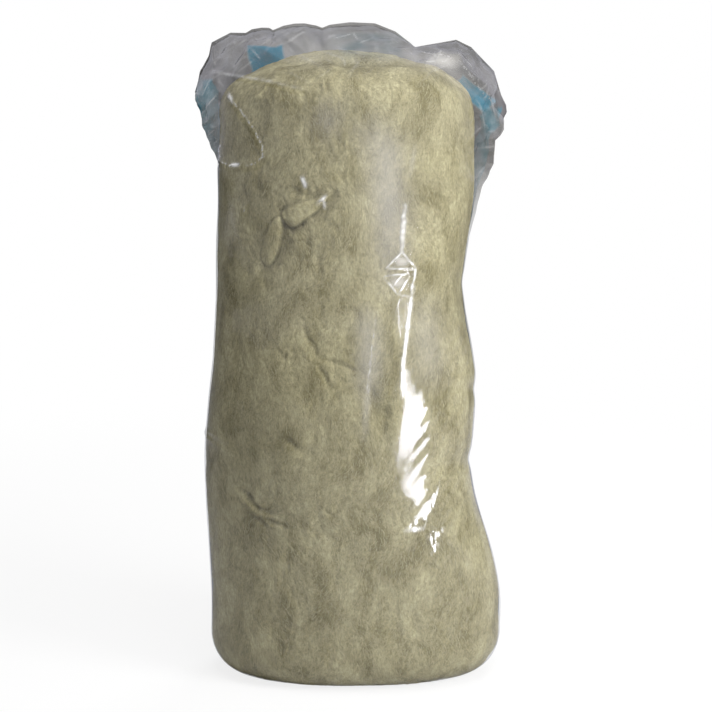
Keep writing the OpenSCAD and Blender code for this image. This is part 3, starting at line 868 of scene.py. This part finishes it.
def woolMaterial(look):
    material, add = newMaterial("mineral_wool")
    place = add("ShaderNodeTexCoord").outputs["Object"]
    drift = add("ShaderNodeTexNoise", place, Scale=6.0, Detail=1.0).outputs["Color"]
    swirl = add("ShaderNodeVectorMath", drift, look["swirl"], place, operation="MULTIPLY_ADD")
    stretch = add("ShaderNodeMapping", swirl, Scale=look["stretch"])
    streak = add("ShaderNodeTexNoise", stretch, Scale=look["streakScale"], Detail=6.0, Roughness=0.72, Distortion=0.6)
    patch = add("ShaderNodeTexNoise", stretch, Scale=look["patchScale"], Detail=5.0, Roughness=0.6, Distortion=0.5)
    fibre = colourRamp(add, streak, (0.33, look["fibreDark"]), (0.65, look["fibrePale"]))
    tone = colourRamp(add, patch, (0.34, look["patchDark"]), (0.63, (1, 1, 1, 1)))
    mixed = mixColours(add, 1.0, fibre, tone, "MULTIPLY")
    # painted shade from creases, tuft rims and patches, then a painted highlight on tufts and ridges
    dark = mixColours(add, times(add, reading(add, "crease"), look["shadeShare"]), mixed, look["crease"])
    highlighted = mixColours(add, reading(add, "paintedHighlight"), dark, look["paintedHighlight"], "MULTIPLY")
    relief = add("ShaderNodeBump", Strength=0.55, Distance=0.002, Height=streak)
    shader = add("ShaderNodeBsdfPrincipled", Roughness=0.95, Specular_IOR_Level=0.1, Base_Color=highlighted, Normal=relief)
    add("ShaderNodeOutputMaterial", shader)
    return material


def fibreMaterial(look):
    material, add = newMaterial("wool_fibre")
    patch = add("ShaderNodeTexNoise", add("ShaderNodeTexCoord").outputs["Object"], Scale=14.0, Detail=3.0)
    level = timesPlus(add, reading(add, "tone"), 0.55, timesPlus(add, patch, 1.3, -0.42))
    colour = colourRamp(add, level, (0.1, look["looseDark"]), (0.95, look["loosePale"]))
    shader = add("ShaderNodeBsdfPrincipled", Roughness=0.85, Specular_IOR_Level=0.15, Base_Color=colour)
    add("ShaderNodeOutputMaterial", shader)
    return material


def filmMaterial(look):
    material, add = newMaterial("clear_film")
    ink, tint = reading(add, "backPrint"), reading(add, "frontTint")
    shadedCopy, front = reading(add, "shadedCopy"), reading(add, "frontFilm")
    # how much of the film is covered, and in which colour
    hazeAndSheen = add("ShaderNodeMapRange", reading(add, "hazeAndSheen"), To_Min=look["hazeAndSheen"][0], To_Max=look["hazeAndSheen"][1])
    cover = add("ShaderNodeMath", hazeAndSheen, times(add, ink, look["blueCover"]), operation="MAXIMUM")
    cover = add("ShaderNodeMath", cover, times(add, tint, look["washCover"]), operation="MAXIMUM")
    # painted light and shade: a lighter copy of the grey ground and blue print on the head, a darker copy on ears,
    # flanks and stripes
    ground = mixColours(add, shadedCopy, look["ground"], look["shadedGround"])
    veiled = mixColours(add, front, ground, look["frontHazeAndSheen"])
    inked = mixColours(add, ink, veiled, mixColours(add, shadedCopy, look["litBlue"], look["shadedBlue"]))
    washed = mixColours(add, tint, inked, look["wash"])
    body = add("ShaderNodeBsdfPrincipled", Roughness=0.4, Specular_IOR_Level=0.12, Base_Color=washed)
    clear = add("ShaderNodeBsdfTransparent", Color=look["clear"])
    hazed = add("ShaderNodeMixShader", cover, clear, body)
    # painted glints along the creases, then a sheen that is stronger at a slant and on the front
    glint = add("ShaderNodeBsdfGlossy", Roughness=0.45, Color=look["glint"])
    glinted = add("ShaderNodeMixShader", reading(add, "paintedGlint"), hazed, glint)
    place = add("ShaderNodeTexCoord").outputs["Object"]
    ripple = add("ShaderNodeTexNoise", place, Scale=look["rippleScale"], Detail=3.0, Roughness=0.5, Distortion=0.8)
    relief = add("ShaderNodeBump", Strength=0.12, Distance=0.002, Height=ripple)
    facing = add("ShaderNodeLayerWeight", Blend=0.5, Normal=relief).outputs["Facing"]
    rise = add("ShaderNodeMath", facing, look["sheenPower"], operation="POWER")
    sheen = timesPlus(add, rise, look["sheen"], look["sheenLeast"])
    share = add("ShaderNodeMapRange", front, To_Min=look["sheenBehind"])
    gloss = add("ShaderNodeBsdfGlossy", Roughness=0.10, Color=look["gloss"], Normal=relief)
    shine = add("ShaderNodeMixShader", times(add, sheen, share), glinted, gloss)
    add("ShaderNodeOutputMaterial", shine)
    return material


woolBody.data.materials.append(woolMaterial(woolLook))
filmSack.data.materials.append(filmMaterial(filmLook))
print("materials made")

woolFibres = scatterFibres(woolBody, fibres, fibreMaterial(woolLook))
print("fibres", len(woolFibres.data.polygons), "faces")


# studio: pale floor, soft light from the upper right, panels for the film's reflections

studio = {
    "lamps": {
        "key": {"at": (1.80, -1.28, 1.30), "target": (0, 0, 0.6), "size": (0.9, 0.9), "power": 56.0},
        "overhead": {"at": (0.15, -0.9, 2.7), "target": (0, 0, 0.9), "size": (1.5, 1.5), "power": 41.0},
        "rear": {"at": (0.9, 2.4, 1.9), "target": (0, 0, 0.6), "size": (1.4, 1.4), "power": 45.0},
    },
    "panels": {
        "slimPanel": {"at": (0.75, -0.96, 0.58), "target": (0, 0, 0.58), "size": (0.011, 0.37), "power": 0.7},
        "lowPanel": {"at": (0.82, -0.89, 0.24), "target": (0, 0, 0.24), "size": (0.30, 0.32), "power": 9.0},
        "backPanel": {"at": (-0.80, 1.00, 0.72), "target": (-0.04, 0.19, 0.72), "size": (0.20, 0.55), "power": 0.42,
                      "spread": 22},
    },
    "ambient": 0.26,
    "floor": {"around": 96, "reach": 14.0, "height": -0.0005, "fade": (0.5, 2.6), "glow": (0.82, 1.0), "grey": 0.86},
}


def areaLight(name, spec, forGloss):
    lamp = bpy.data.lights.new(name, "AREA")
    lamp.shape = "RECTANGLE"
    lamp.size, lamp.size_y = spec["size"]
    lamp.energy = spec["power"]
    lamp.spread = math.radians(spec.get("spread", 180))
    rig = bpy.data.objects.new(name, lamp)
    rig.visible_camera = False
    rig.visible_diffuse, rig.visible_glossy = not forGloss, forGloss
    rig.location = spec["at"]
    rig.rotation_euler = (Vector(spec["target"]) - Vector(spec["at"])).to_track_quat("-Z", "Y").to_euler()
    scene.collection.objects.link(rig)


for kind in ("lamps", "panels"):
    for name, spec in studio[kind].items():
        areaLight(name, spec, kind == "panels")

world = bpy.data.worlds.new("studio")
scene.world = world
world.use_nodes = True
world.node_tree.nodes.clear()
add = partial(addNode, world.node_tree)
ray = add("ShaderNodeLightPath").outputs
seen = add("ShaderNodeMath", ray["Is Camera Ray"], ray["Is Glossy Ray"], operation="ADD")
seen = add("ShaderNodeMath", seen, ray["Is Transmission Ray"], operation="ADD", use_clamp=True)
level = add("ShaderNodeMapRange", seen, To_Min=studio["ambient"], To_Max=1.0)
add("ShaderNodeOutputWorld", add("ShaderNodeBackground", Color=(1, 1, 1, 1), Strength=level))


def floorPiece(spec):
    # a wide disc that fades into the white round it
    reach = spec["reach"]
    turns = [2 * math.pi * k / spec["around"] for k in range(spec["around"])]
    ring = [(reach * math.cos(a), reach * math.sin(a), spec["height"]) for a in turns]
    mesh = bpy.data.meshes.new("floor")
    mesh.from_pydata(ring, [], [list(range(len(ring)))])
    piece = bpy.data.objects.new("floor", mesh)
    scene.collection.objects.link(piece)
    material, add = newMaterial("floor")
    far = add("ShaderNodeVectorMath", add("ShaderNodeTexCoord").outputs["Object"], operation="LENGTH")
    (near, end), (low, high) = spec["fade"], spec["glow"]
    fade = add("ShaderNodeMapRange", far, interpolation_type="SMOOTHSTEP",
               From_Min=near, From_Max=end, To_Min=low, To_Max=high)
    share = times(add, add("ShaderNodeLightPath").outputs["Is Camera Ray"], fade)
    paint = add("ShaderNodeBsdfDiffuse", Color=(spec["grey"], spec["grey"], spec["grey"], 1))
    glow = add("ShaderNodeEmission", Color=(1, 1, 1, 1))
    add("ShaderNodeOutputMaterial", add("ShaderNodeMixShader", share, paint, glow))
    mesh.materials.append(material)


floorPiece(studio["floor"])
print("studio set")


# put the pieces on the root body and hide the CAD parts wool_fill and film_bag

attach(woolBody, "root")
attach(woolFibres, "root")
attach(filmSack, "root")
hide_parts("wool_fill")
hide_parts("film_bag")
